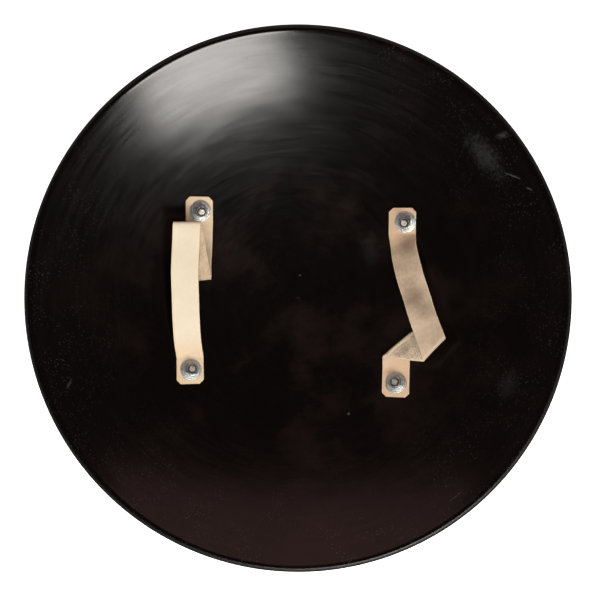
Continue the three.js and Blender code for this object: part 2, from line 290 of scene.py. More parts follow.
# Textures that run round the dish: their scales along its circles and outwards, how deep they
# are in the paint, and how much they change its roughness. The rim is glossier than the rest and
# the roll duller.
STREAKS = {"around": 3.0, "outwards": 170.0, "detail": 5, "fineness": 0.65}
STREAK_RELIEF, STREAK_ROUGHNESS = 0.000028, (-0.02, 0.03)
BRUSHING = {"around": 7.0, "outwards": 480.0, "detail": 3, "fineness": 0.6}
BRUSHING_RELIEF, BRUSHING_ROUGHNESS = 0.000007, (-0.01, 0.02)
SWELLS = {"around": 1.6, "outwards": 17.0, "detail": 2, "fineness": 0.5}
SWELL_RELIEF = 0.0006
PEEL_SCALE, PEEL_RELIEF = 420.0, 0.00001
PAINT_ROUGHNESS = (0.16, 0.20)
RIM_GLOSS_FROM, RIM_GLOSS = (0.2895, 0.2915), -0.07  # radii where it sets in
ROLL_DULL_FROM, ROLL_DULLNESS = (0.2950, 0.2970), 0.42

# Dust specks, mostly near the edge, and brown wear, mostly near the middle
DUST_SCALE = 330.0
DUST_GREY = 0.04
SPECK_LIMITS = (0.26, 0.10)  # distances from a speck's middle, as shares of the specks' spacing
DUST_PATCHES = (0.40, 0.70)
DUST_FROM, DUST_INSIDE = (0.18, 0.28), 0.12
WEAR_PATCHES = (0.50, 0.66)
WEAR_TO, WEAR_OUTSIDE = (0.14, 0.24), 0.3

# Marks on the paint of the hollow side: distance from the middle, direction round it in degrees,
# the mark's own turn, length and width, and how grey and how rough it makes the paint.
PAINT_MARKS = [
    {"radius": 0.259, "around": 41, "turn": 130, "size": (0.090, 0.034), "grey": 0.016, "rough": 0.10},
    {"radius": 0.286, "around": 42, "turn": 20, "size": (0.018, 0.010), "grey": 0.030, "rough": 0.10},
    {"radius": 0.272, "around": 33, "turn": -20, "size": (0.024, 0.0026), "grey": 0.060, "rough": 0.10},
    {"radius": 0.281, "around": 28.6, "turn": -25, "size": (0.012, 0.0024), "grey": 0.070, "rough": 0.10},
    {"radius": 0.278, "around": -48, "turn": 42, "size": (0.024, 0.0022), "grey": 0.030, "rough": 0.10},
    {"radius": 0.251, "around": -19, "turn": 70, "size": (0.050, 0.030), "grey": 0.006, "rough": 0.04},
    {"radius": 0.098, "around": 37, "turn": 100, "size": (0.060, 0.034), "grey": 0.005, "rough": 0.04},
    {"radius": 0.142, "around": -63, "turn": 20, "size": (0.004, 0.003), "grey": 0.080, "rough": 0.10},
    {"radius": 0.269, "around": -156, "turn": 70, "size": (0.014, 0.005), "grey": 0.030, "rough": 0.10},
    {"radius": 0.026, "around": 89, "turn": 0, "size": (0.004, 0.003), "grey": 0.050, "rough": 0.10},
]
MARK_RAGGEDNESS = (-0.35, 0.45)  # how far a mark's outline moves in and out, as shares of its size
STAIN_AND_SHADE_RAGGEDNESS = (-0.12, 0.12)

# Scales of the noise textures, in features a metre
PAINT_CLOUDS, WEAR_CLOUDS, DUST_CLOUDS, MARK_OUTLINE = 9.0, 11.0, 30.0, 260.0
LEATHER_CLOUDS, LEATHER_MOTTLE = 35.0, 260.0
LEATHER_PORES, LEATHER_CREASES = 1100.0, 2600.0
FIBRE_CLOUDS, FIBRE_FLECKS = 60.0, 760.0
ZINC_FLECKS, ZINC_MOTTLE = 500.0, 950.0
LOCK_RING_GRAIN = 2500.0

# How much the fine noise moves the coarse one, and the coarse one the flecks
MOTTLE_WEIGHT = (-0.1, 0.1)
FIBRE_CLOUD_WEIGHT = (-0.08, 0.08)

# Between these a noise texture has most of its values, or only its middle ones.
NOISE_SPAN = (0.3, 0.7)
NOISE_WIDE_SPAN = (0.25, 0.75)
NOISE_MIDDLE = (0.35, 0.65)
FIBRE_SPAN = (0.36, 0.62)


# Meshes

def shade_by_angle(mesh):
    """Smooth shading, except at sharp edges."""
    shaped = bmesh.new()
    shaped.from_mesh(mesh)
    bmesh.ops.recalc_face_normals(shaped, faces=shaped.faces)
    for face in shaped.faces:
        face.smooth = True
    for edge in shaped.edges:
        edge.smooth = edge.calc_face_angle(0) < SHARP_EDGE
    shaped.to_mesh(mesh)
    shaped.free()


def mesh_object(name, vertices, faces, materials, face_materials=None):
    mesh = bpy.data.meshes.new(name)
    mesh.from_pydata(vertices, [], faces)
    for material in materials:
        mesh.materials.append(material)
    if face_materials:
        for polygon, index in zip(mesh.polygons, face_materials):
            polygon.material_index = index
    piece = bpy.data.objects.new(name, mesh)
    bpy.context.scene.collection.objects.link(piece)
    return piece


def turned(ring_count, sides, point_at, closed=False):
    """Rings round the Z axis. point_at(ring, angle) gives a radius and a height, and a ring with
    no radius is one point. Returns the vertices, the faces and the ring that each face starts at."""
    vertices, rings = [], []
    for ring in range(ring_count):
        points = [point_at(ring, math.tau * side / sides) for side in range(sides)]
        if max(radius for radius, _ in points) < NO_RADIUS:
            rings.append([len(vertices)])
            vertices.append((0, 0, points[0][1]))
            continue
        rings.append(list(range(len(vertices), len(vertices) + sides)))
        for side, (radius, height) in enumerate(points):
            angle = math.tau * side / sides
            vertices.append((radius * math.cos(angle), radius * math.sin(angle), height))
    faces, starts = [], []
    for ring in range(ring_count if closed else ring_count - 1):
        here, there = rings[ring], rings[(ring + 1) % ring_count]
        for side in range(sides):
            beside = (side + 1) % sides
            face = [here[side % len(here)], here[beside % len(here)]]
            face += [there[beside % len(there)], there[side % len(there)]]
            faces.append(list(dict.fromkeys(face)))
            starts.append(ring)
    return vertices, faces, starts


def cut(piece, cutters):
    """Takes the cutters' shapes out of a piece's mesh."""
    for cutter in cutters:
        modifier = piece.modifiers.new("hole", "BOOLEAN")
        modifier.operation = "DIFFERENCE"
        modifier.solver = "EXACT"
        modifier.object = cutter
    bpy.context.view_layer.update()
    evaluated = piece.evaluated_get(bpy.context.evaluated_depsgraph_get())
    mesh = bpy.data.meshes.new_from_object(evaluated)
    piece.modifiers.clear()
    old = piece.data
    piece.data = mesh
    bpy.data.meshes.remove(old)


# The dish

FLAT_SPOT_RADIUS = FLAT_SPOT_DIAMETER / 2
INSIDE_RADIUS = DOME_RADIUS - SHEET_THICKNESS
DOME_CENTRE_HEIGHT = math.sqrt(DOME_RADIUS**2 - FLAT_SPOT_RADIUS**2)


def inside_height(x, y):
    """Height of the dish's inner face."""
    return DOME_CENTRE_HEIGHT - math.sqrt(INSIDE_RADIUS**2 - x**2 - y**2)


def corner_angle(side, other_side, opposite):
    """The angle between two sides of a triangle, from its three lengths."""
    return math.acos((side**2 + other_side**2 - opposite**2) / (2 * side * other_side))


def between(start, end, steps, skip_first=False):
    """Evenly spaced values from start to end."""
    return [start + (end - start) * step / steps for step in range(int(skip_first), steps + 1)]


def dish_profile():
    """The sheet's outline from the axis underneath, round the rolled edge and back inside. The
    sheet's edge is rolled round a wire, and its cut edge stops just short of the dome."""
    roll_radius = EDGE_ROLL_DIAMETER / 2
    wire_radius = roll_radius - SHEET_THICKNESS
    roll_reach = INSIDE_RADIUS + roll_radius
    rim_angle = math.asin((OUTER_DIAMETER / 2 - roll_radius) / roll_reach)
    roll_x = roll_reach * math.sin(rim_angle)
    roll_z = DOME_CENTRE_HEIGHT - roll_reach * math.cos(rim_angle)

    def on_ball(radius, angle):
        return radius * math.sin(angle), DOME_CENTRE_HEIGHT - radius * math.cos(angle)

    def on_roll(radius, angle):
        return roll_x + radius * math.cos(angle), roll_z + radius * math.sin(angle)

    to_dome = math.pi / 2 + rim_angle
    meets_dome = to_dome - math.tau + corner_angle(roll_reach, roll_radius, DOME_RADIUS)
    cut_edge = meets_dome + ROLL_SEAM_GAP / roll_radius
    outer_start = math.asin(FLAT_SPOT_RADIUS / DOME_RADIUS)
    inner_end = math.acos((DOME_CENTRE_HEIGHT - SHEET_THICKNESS) / INSIDE_RADIUS)
    profile = [(0, 0), (FLAT_SPOT_RADIUS / 2, 0)]
    profile += [on_ball(DOME_RADIUS, a) for a in between(outer_start, rim_angle, DISH_ARC_STEPS)]
    wire_start = to_dome - math.tau
    profile += [on_roll(wire_radius, a) for a in between(wire_start, cut_edge, WIRE_STEPS, True)]
    leaves_roll = to_dome - RIM_FLATTENING
    profile += [on_roll(roll_radius, a) for a in between(cut_edge, leaves_roll, EDGE_ROLL_STEPS)]
    rim_x, rim_z = on_roll(roll_radius, leaves_roll)
    rim_depth = math.hypot(rim_x, DOME_CENTRE_HEIGHT - rim_z) - INSIDE_RADIUS
    sheet_start = math.atan2(rim_x, DOME_CENTRE_HEIGHT - rim_z)
    climb = math.tan(RIM_FLATTENING) - rim_depth / RIM_SWELL_REACH

    def swell(angle):
        """How far the sheet stands over the dome, fading out inwards."""
        inwards = (sheet_start - angle) * INSIDE_RADIUS
        return (climb * inwards - rim_depth) * math.exp(-inwards / RIM_SWELL_REACH)

    swell_end = sheet_start - RIM_SWELL_END * RIM_SWELL_REACH / INSIDE_RADIUS
    inner = between(sheet_start, swell_end, RIM_STEPS, True)
    inner += between(swell_end, inner_end, DISH_ARC_STEPS, True)
    profile += [on_ball(INSIDE_RADIUS - swell(a), a) for a in inner]
    profile += [(FLAT_SPOT_RADIUS / 2, SHEET_THICKNESS), (0, SHEET_THICKNESS)]
    return profile


def dish_piece(name, materials):
    profile = dish_profile()
    vertices, faces, _ = turned(len(profile), DISH_SIDES, lambda ring, angle: profile[ring])
    return mesh_object(name, vertices, faces, materials)


# The fixings

FIXINGS = []
for row, share in (("upper", 0.5), ("lower", -0.5)):
    for column, x, pitch in (
        ("left", -FIXING_SPACING / 2, ARM_BOLT_SPACING),
        ("right", FIXING_SPACING / 2, GRIP_BOLT_SPACING),
    ):
        place = {"name": f"{row}_{column}", "column": column, "pitch": pitch}
        FIXINGS.append({**place, "x": x, "y": FIXING_RISE + share * pitch})


def fixing_frame(fixing):
    """Origin on the dish's inner face, Z towards the dome's centre."""
    foot = Vector((fixing["x"], fixing["y"], inside_height(fixing["x"], fixing["y"])))
    inward = (Vector((0, 0, DOME_CENTRE_HEIGHT)) - foot).normalized()
    turn = Vector((0, 0, 1)).rotation_difference(inward)
    return Matrix.Translation(foot) @ turn.to_matrix().to_4x4()


def bowl_rise(distance):
    """How much the dish rises at a distance from where something lies in it."""
    return INSIDE_RADIUS - math.sqrt(INSIDE_RADIUS**2 - distance**2)


LEATHER_TOP = REST_GAP + bowl_rise(STRAP_WIDTH / 2) + STRAP_THICKNESS + bowl_rise(WASHER_DIAMETER / 2)
WASHER_BOTTOM = LEATHER_TOP + REST_GAP
WASHER_TOP = WASHER_BOTTOM + WASHER_THICKNESS
NUT_BOTTOM = WASHER_TOP + REST_GAP
NUT_HEX_TOP = NUT_BOTTOM + NUT_HEX_HEIGHT
NUT_TOP = NUT_HEX_TOP + NUT_COLLAR_HEIGHT
HEAD_SEAT = -(SHEET_THICKNESS + REST_GAP)
BOLT_TOP = NUT_TOP + BOLT_END_SHOWING


def hole_drill(fixing):
    radius = (BOLT_DIAMETER + HOLE_CLEARANCE) / 2
    reach = 2 * (SHEET_THICKNESS + STRAP_THICKNESS + REST_GAP)
    profile = [(0, -reach), (radius, -reach), (radius, reach), (0, reach)]
    vertices, faces, _ = turned(len(profile), FIXING_SIDES, lambda ring, angle: profile[ring])
    drill = mesh_object(f"drill_{fixing['name']}", vertices, faces, [])
    drill.data.transform(fixing_frame(fixing))
    shade_by_angle(drill.data)
    return drill


CUT_END_RINGS = 3  # the last rings, at the bolt's cut end


def bolt_rings():
    """Radius and height of each ring of the bolt, and how deep its thread is there."""
    head_radius = BOLT_HEAD_DIAMETER / 2
    shank_radius = BOLT_DIAMETER / 2
    crown_height = BOLT_HEAD_HEIGHT - BOLT_HEAD_EDGE
    crown_radius = (head_radius**2 + crown_height**2) / (2 * crown_height)
    crown_centre = HEAD_SEAT - BOLT_HEAD_HEIGHT + crown_radius
    crown_angle = math.asin(head_radius / crown_radius)
    rings = []
    for angle in between(0, crown_angle, HEAD_ARC_STEPS):
        rings.append((crown_radius * math.sin(angle), crown_centre - crown_radius * math.cos(angle), 0))
    rings.append((head_radius, HEAD_SEAT - BOLT_HEAD_ROUND, 0))
    rings.append((head_radius - BOLT_HEAD_ROUND, HEAD_SEAT, 0))
    thread_start = BOLT_TOP - THREADED_LENGTH
    rings.append((shank_radius, HEAD_SEAT, 0))
    rings.append((shank_radius, thread_start - THREAD_PITCH, 0))
    thread_end = BOLT_TOP - BOLT_END_CHAMFER
    steps = THREAD_STEPS * round(THREADED_LENGTH / THREAD_PITCH)
    rings += [(shank_radius, height, 1) for height in between(thread_start, thread_end, steps)]
    chamfered = shank_radius - BOLT_END_CHAMFER
    rings.append((chamfered + BOLT_END_CHAMFER / 3, BOLT_TOP - BOLT_END_CHAMFER / 3, 0))
    rings.append((chamfered, BOLT_TOP, 0))
    rings.append((chamfered / 2, BOLT_TOP, 0))
    rings.append((0, BOLT_TOP, 0))
    return rings


def bolt_piece(name, materials):
    """A bolt with its thread cut where it shows, and its cut end in the second material."""
    rings = bolt_rings()

    def point_at(ring, angle):
        radius, height, depth = rings[ring]
        turn = (height / THREAD_PITCH - angle / math.tau) % 1
        return radius - depth * THREAD_DEPTH * abs(2 * turn - 1), height

    vertices, faces, starts = turned(len(rings), FIXING_SIDES, point_at)
    cut_end_start = len(rings) - CUT_END_RINGS
    face_materials = [int(start >= cut_end_start) for start in starts]
    return mesh_object(name, vertices, faces, materials, face_materials)


def washer_piece(name, materials):
    """A punched washer: crowned, with faint rings on its upper face, and sharper below."""
    outer = WASHER_DIAMETER / 2
    inner = (BOLT_DIAMETER + HOLE_CLEARANCE) / 2
    over, under = WASHER_UPPER_ROUND, WASHER_LOWER_ROUND
    crown_start = NUT_ACROSS_FLATS / 2

    def top(radius):
        share = max(radius - crown_start, 0) / (outer - crown_start)
        ripple = WASHER_RIPPLE * (1 - math.cos(math.tau * WASHER_RIPPLES * share)) / 2
        return radius, WASHER_TOP - WASHER_CROWN * share**WASHER_CROWN_BEND - ripple

    rim_height = top(outer - over)[1]
    profile = [
        (inner, WASHER_BOTTOM + under),
        (inner + under, WASHER_BOTTOM),
        (outer - under, WASHER_BOTTOM),
        (outer, WASHER_BOTTOM + under),
        (outer, rim_height - over),
        (outer - 0.3 * over, rim_height - 0.3 * over),  # on the round between the two beside it
    ]
    profile += [top(radius) for radius in between(outer - over, inner + over, WASHER_TOP_STEPS)]
    profile.append((inner, WASHER_TOP - over))
    vertices, faces, _ = turned(len(profile), FIXING_SIDES, lambda ring, a: profile[ring], True)
    washer = mesh_object(name, vertices, faces, materials)
    radii = washer.data.attributes.new("radius", "FLOAT", "POINT")
    radii.data.foreach_set("value", [math.hypot(x, y) for x, y, _ in vertices])
    return washer


def nut_piece(name, materials):
    """A lock nut: a hexagon with turned-down corners, a collar with a rounded lip on it, and
    inside the lip a ring of dark plastic that grips the thread."""
    flat_radius = NUT_ACROSS_FLATS / 2
    bore = BOLT_DIAMETER / 2 + THREAD_GAP
    collar = BOLT_DIAMETER / 2 + NUT_COLLAR_WALL
    lip_round = NUT_COLLAR_LIP / 2
    lip_middle = collar - lip_round
    corner_slope = math.tan(math.pi / 6)
    ring_top = NUT_TOP - LOCK_RING_DEPTH

    def corner_ring(end, inwards):
        """A ring along the hexagon's turned-down corners."""
        def at(angle):
            nearest_flat = (angle + math.pi / 6) % (math.pi / 3) - math.pi / 6
            radius = flat_radius / math.cos(nearest_flat)
            return radius, end + inwards * (radius - flat_radius) * corner_slope
        return at

    rings = [(bore, NUT_BOTTOM), (flat_radius, NUT_BOTTOM)]
    rings += [corner_ring(NUT_BOTTOM, 1), corner_ring(NUT_HEX_TOP, -1)]
    rings += [(flat_radius, NUT_HEX_TOP), (collar + lip_round, NUT_HEX_TOP)]
    rings.append((collar, NUT_HEX_TOP + lip_round))
    lip_start = len(rings)
    for angle in between(0, math.pi, LIP_STEPS):
        radius = lip_middle + lip_round * math.cos(angle)
        rings.append((radius, NUT_TOP - lip_round * (1 - math.sin(angle))))
    lock_ring_start = len(rings)
    rings += [(lip_middle - lip_round, ring_top), (bore, ring_top)]

    def point_at(ring, angle):
        place = rings[ring]
        return place(angle) if callable(place) else place

    vertices, faces, starts = turned(len(rings), FIXING_SIDES, point_at, True)
    plate, plastic, worn = range(3)
    face_materials = [
        plastic if start == lock_ring_start else worn if lip_start <= start < lock_ring_start else plate
        for start in starts
    ]
    return mesh_object(name, vertices, faces, materials, face_materials)


# The straps

FOLD_RADIUS = FOLD_INNER_RADIUS + STRAP_THICKNESS / 2
TAB_REACH = WASHER_DIAMETER / 2 + TAB_MARGIN


def plan_direction(degrees):
    angle = math.radians(degrees)
    return Vector((math.cos(angle), math.sin(angle)))


def cross(a, b):
    return a.x * b.y - a.y * b.x


def across_line(centre, direction, half_span, lift, lean=0):
    """Left and right end of the line across a strap's middle layer."""
    reach = half_span * math.cos(math.radians(lean))
    tip = half_span * math.sin(math.radians(lean))
    ends = []
    for side in (-1, 1):
        x = centre.x + side * reach * direction.x
        y = centre.y + side * reach * direction.y
        ends.append(Vector((x, y, inside_height(x, y) + lift + side * tip)))
    return ends


def lying_lift(fixing):
    """Height of a flat strap's middle layer over the dish, measured straight up."""
    slope = math.asin(math.hypot(fixing["x"], fixing["y"]) / INSIDE_RADIUS)
    return (REST_GAP + STRAP_THICKNESS / 2) / math.cos(slope)


def end_lines(fixing, end, inward):
    """The lines of a strap's end: first its tip, then the flat leather from the cut corners on."""
    direction = plan_direction(end["turn"])
    along = Vector((-direction.y, direction.x)) * inward
    bolt = Vector((fixing["x"] + end["side"] * fixing["pitch"], fixing["y"]))
    lift = lying_lift(fixing)
    half = STRAP_WIDTH / 2
    tip = across_line(bolt - along * STRAP_END_MARGIN, direction, half - STRAP_CORNER_CUT, lift)
    distances = (STRAP_CORNER_CUT - STRAP_END_MARGIN, 0, TAB_REACH - TAB_MARGIN, TAB_REACH)
    return tip, [across_line(bolt + along * d, direction, half, lift) for d in distances]


def fold_lines(key, before, after):
    """The lines across a fold, which climbs or drops by one layer round the fold's radius."""
    heading = (key["centre"] - before).normalized()
    leaving = (after - key["centre"]).normalized()
    direction = key["direction"]
    outward = Vector((-direction.y, direction.x))
    if outward.dot(heading) < 0:
        outward.negate()
    arrive_slide = direction.dot(heading) / outward.dot(heading)
    leave_slide = -direction.dot(leaving) / outward.dot(leaving)
    climb = 1 if key["fold"] == "up" else -1
    lines = []
    for step in range(FOLD_STEPS + 1):
        angle = math.pi * (step / FOLD_STEPS - 0.5)
        slide = angle * FOLD_RADIUS * (arrive_slide if angle < 0 else leave_slide)
        centre = key["centre"] + outward * FOLD_RADIUS * (math.cos(angle) - 1) + direction * slide
        lift = key["lift"] + FOLD_RADIUS * (1 + climb * math.sin(angle))
        lines.append(across_line(centre, direction, key["half_span"], lift))
    return lines


def bend_lines(strap, upper, lower):
    """The lines that a strap's shape is given by, and the tips of its two ends."""
    pitch = upper["pitch"]
    placed = []
    for key in strap["keys"]:
        centre = Vector((upper["x"] + key["side"] * pitch, upper["y"] - key["down"] * pitch))
        lift = lying_lift(upper) + key["rise"] * pitch + key["plies"] * 2 * FOLD_RADIUS
        direction = plan_direction(key["turn"])
        placed.append({**key, "centre": centre, "direction": direction, "lift": lift})
    start_tip, lines = end_lines(upper, strap["upper_end"], -1)
    finish_tip, finish = end_lines(lower, strap["lower_end"], 1)
    centres = [Vector((upper["x"], upper["y"] - TAB_REACH))]
    centres += [key["centre"] for key in placed]
    centres += [Vector((lower["x"], lower["y"] + TAB_REACH))]
    for index, key in enumerate(placed):
        before, after = centres[index], centres[index + 2]
        arriving = (key["centre"] if "fold" in key else after) - before
        slant = abs(cross(arriving.normalized(), key["direction"]))
        key["half_span"] = STRAP_WIDTH / 2 / slant
        if "fold" in key:
            lines += fold_lines(key, before, after)
        else:
            lean = key.get("lean", 0)
            lines.append(
                across_line(key["centre"], key["direction"], key["half_span"], key["lift"], lean)
            )
    return start_tip, lines + finish[::-1], finish_tip


def curve_point(points, index, share):
    """A point on the smooth curve through the points, between one point and the next."""
    p1, p2 = points[index], points[index + 1]
    p0 = points[index - 1] if index > 0 else 2 * points[0] - points[1]
    p3 = points[index + 2] if index + 2 < len(points) else 2 * points[-1] - points[-2]
    t0, t1, t2 = ((b - a).length ** 0.5 for a, b in ((p0, p1), (p1, p2), (p2, p3)))
    leave = ((p1 - p0) / t0 - (p2 - p0) / (t0 + t1) + (p2 - p1) / t1) * t1
    arrive = ((p2 - p1) / t1 - (p3 - p1) / (t1 + t2) + (p3 - p2) / t2) * t1
    square, cube = share**2, share**3
    return (
        p1 * (2 * cube - 3 * square + 1)
        + leave * (cube - 2 * square + share)
        + p2 * (3 * square - 2 * cube)
        + arrive * (cube - square)
    )


def fine_lines(lines):
    """The bend lines with enough lines between them for a smooth surface."""
    lefts = [line[0] for line in lines]
    rights = [line[1] for line in lines]
    fine = []
    for index in range(len(lines) - 1):
        lengths = [(side[index + 1] - side[index]).length for side in (lefts, rights)]
        steps = max(2, math.ceil(max(lengths) / STATION_SPACING))
        for step in range(steps):
            share = step / steps
            left = curve_point(lefts, index, share)
            fine.append([left, curve_point(rights, index, share)])
    fine.append([lefts[-1], rights[-1]])
    return fine


def section_outline():
    """The outline of a strap's cross-section: for each point, its side, how far it is in from
    that side's edge (or None and a share of the width), and its height over the middle layer."""
    half = STRAP_THICKNESS / 2
    round_steps = [math.pi / 2 * step / EDGE_STEPS for step in range(EDGE_STEPS + 1)]
    corner = [
        (STRAP_EDGE_ROUND * (1 - math.sin(a)), half - STRAP_EDGE_ROUND * (1 - math.cos(a)))
        for a in round_steps
    ]
    inner = [index / STRAP_COLUMNS for index in range(1, STRAP_COLUMNS)]
    outline = [("grain", share, 0, half) for share in inner]
    outline += [("edge", 1, -inset, height) for inset, height in corner]
    outline += [("edge", 1, -inset, -height) for inset, height in corner[::-1]]
    outline += [("flesh", share, 0, -half) for share in inner[::-1]]
    outline += [("edge", 0, inset, -height) for inset, height in corner]
    outline += [("edge", 0, inset, height) for inset, height in corner[::-1]]
    return outline


def smooth_step(low, high, value):
    share = min(max((value - low) / (high - low), 0), 1)
    return share * share * (3 - 2 * share)


def strap_faces(station_count, outline):
    """The faces between stations and at both tips, and the material slot of each."""
    slots = {"grain": 0, "flesh": 1, "edge": 2}
    ring = len(outline)
    faces, face_materials = [], []
    for index in range(station_count - 1):
        for side in range(ring):
            here = index * ring + side
            beside = index * ring + (side + 1) % ring
            faces.append((here, beside, beside + ring, here + ring))
            kinds = {outline[side][0], outline[(side + 1) % ring][0]}
            kind = kinds.pop() if len(kinds) == 1 else (kinds - {"edge"}).pop()
            face_materials.append(slots[kind])
    faces.append(tuple(range(ring)))
    faces.append(tuple((station_count - 1) * ring + side for side in range(ring)))
    face_materials += [slots["edge"]] * 2
    return faces, face_materials


def strap_piece(name, strap, materials):
    """A strap along its bend lines, which carries how far each point is from the nearer end, along the
    strap and across it, for the leather's stains and painted shade."""
    upper, lower = [fixing for fixing in FIXINGS if fixing["column"] == strap["column"]]
    start_tip, lines, finish_tip = bend_lines(strap, upper, lower)
    stations = [start_tip] + fine_lines(lines) + [finish_tip]
    outline = section_outline()
    middles = [(left + right) / 2 for left, right in stations]
    travelled = [0.0]
    for before, after in zip(middles, middles[1:]):
        travelled.append(travelled[-1] + (after - before).length)
    flat_end = STRAP_END_MARGIN + TAB_REACH
    vertices = []
    measures = {"from_end": [], "along": [], "across": []}
    for index, (left, right) in enumerate(stations):
        before = stations[max(index - 1, 0)]
        after = stations[min(index + 1, len(stations) - 1)]
        across = right - left
        width = across.length
        normals = [(after[side] - before[side]).cross(across).normalized() for side in (0, 1)]
        from_end = min(travelled[index], travelled[-1] - travelled[index])
        freedom = smooth_step(flat_end, 2 * flat_end, from_end)
        at_end = index in (0, len(stations) - 1)
        for kind, share, inset, height in outline:
            share_across = share + inset / width
            normal = (normals[0] * (1 - share_across) + normals[1] * share_across).normalized()
            wave = noise.noise(Vector((travelled[index], share_across * width, 0)) * WAVE_SCALE)
            cup = 4 * share_across * (1 - share_across) * STRAP_CUP
            lift = height * (TIP_THINNING if at_end else 1) + freedom * (wave * STRAP_WAVE - cup)
            vertices.append(left + across * share_across + normal * lift)
            measures["from_end"].append(from_end)
            measures["along"].append(travelled[index])
            measures["across"].append(share_across * STRAP_WIDTH)
    faces, face_materials = strap_faces(len(stations), outline)
    piece = mesh_object(name, vertices, faces, materials, face_materials)
    for label, values in measures.items():
        attribute = piece.data.attributes.new(label, "FLOAT", "POINT")
        attribute.data.foreach_set("value", values)
    return piece


# Materials

class Nodes:
    """Short calls for the nodes of one shader tree."""

    def __init__(self, tree):
        self.tree = tree

    def set(self, node, socket, value):
        label = socket.replace("_", " ") if isinstance(socket, str) else socket
        if isinstance(value, bpy.types.NodeSocket):
            self.tree.links.new(value, node.inputs[label])
        else:
            node.inputs[label].default_value = value

    def add(self, kind, inputs, output=0, **settings):
        node = self.tree.nodes.new(kind)
        for setting, value in settings.items():
            setattr(node, setting, value)
        for socket, value in inputs.items():
            self.set(node, socket, value)
        return node.outputs[output]

    def split(self, vector):
        node = self.tree.nodes.new("ShaderNodeSeparateXYZ")
        self.set(node, 0, vector)
        return node.outputs

    def join(self, x, y, z):
        return self.add("ShaderNodeCombineXYZ", {0: x, 1: y, 2: z})

    def vector(self, operation, a, b=(0, 0, 0), output=0):
        return self.add("ShaderNodeVectorMath", {0: a, 1: b}, output, operation=operation)

    def math(self, operation, a, b=0.0):
        return self.add("ShaderNodeMath", {0: a, 1: b}, 0, operation=operation)

    def range(self, value, from_low, from_high, to_low=0.0, to_high=1.0):
        inputs = {0: value, 1: from_low, 2: from_high, 3: to_low, 4: to_high}
        return self.add("ShaderNodeMapRange", inputs, 0, clamp=True)


class Surface(Nodes):
    """A material with one Principled shader."""

    def __init__(self, name, **values):
        self.material = bpy.data.materials.new(name)
        self.material.use_nodes = True
        super().__init__(self.material.node_tree)
        self.shader = self.tree.nodes["Principled BSDF"]
        self.finish(**values)

    def finish(self, **values):
        """Sets or links the shader's own inputs."""
        for socket, value in values.items():
            self.set(self.shader, socket, value)
        return self.material

    def place(self):
        return self.add("ShaderNodeTexCoord", {}, "Object")

    def attribute(self, name):
        return self.add("ShaderNodeAttribute", {}, "Fac", attribute_name=name)

    def noise(self, scale, detail=3, vector=None, fineness=0.5):
        inputs = {"Vector": vector or self.place(), "Scale": scale, "Detail": detail}
        inputs["Roughness"] = fineness
        return self.add("ShaderNodeTexNoise", inputs, "Fac")

    def cells(self, scale):
        inputs = {"Vector": self.place(), "Scale": scale}
        return self.add("ShaderNodeTexVoronoi", inputs, "Distance")

    def mix(self, share, a, b):
        node = self.tree.nodes.new("ShaderNodeMix")
        node.data_type = "RGBA"
        for socket, value in ((0, share), (6, a), (7, b)):
            self.set(node, socket, value)
        return node.outputs[2]

    def bump(self, height, distance, under=None):
        inputs = {"Height": height, "Distance": distance}
        if under:
            inputs["Normal"] = under
        return self.add("ShaderNodeBump", inputs, 0)


def darker(colour, share):
    return [share * value for value in colour[:3]] + [1]


def spot(surface, place, middle, heading, size, ragged):
    """How much of a mark is at a place: a soft ellipse with an uneven outline."""
    scale = (2 / size[0], 2 / size[1], 0)
    moved = surface.vector("SUBTRACT", place, middle)
    turn = {"Vector": moved, "Angle": -math.radians(heading)}
    aligned = surface.add("ShaderNodeVectorRotate", turn, 0, rotation_type="Z_AXIS")
    distance = surface.vector("LENGTH", surface.vector("MULTIPLY", aligned, scale), output="Value")
    fade = {0: surface.math("ADD", distance, ragged), 1: 0.0, 2: 1.0, 3: 1.0, 4: 0.0}
    return surface.add("ShaderNodeMapRange", fade, 0, interpolation_type="SMOOTHSTEP")


def polar_noise(paint, flat, radius, texture):
    """A noise texture that is drawn out along the dish's circles."""
    heading = paint.split(paint.vector("NORMALIZE", flat))
    turns = [paint.math("MULTIPLY", heading[side], texture["around"]) for side in (0, 1)]
    outwards = paint.math("MULTIPLY", radius, texture["outwards"])
    return paint.noise(1.0, texture["detail"], paint.join(*turns, outwards), texture["fineness"])


def paint_grey(paint, radius):
    """Dust specks in patches, more of them near the edge."""
    specks = paint.range(paint.cells(DUST_SCALE), *SPECK_LIMITS, 0.0, DUST_GREY)
    patches = paint.range(paint.noise(DUST_CLOUDS), *DUST_PATCHES)
    weight = paint.range(radius, *DUST_FROM, DUST_INSIDE, 1.0)
    return paint.math("MULTIPLY", specks, paint.math("MULTIPLY", patches, weight))


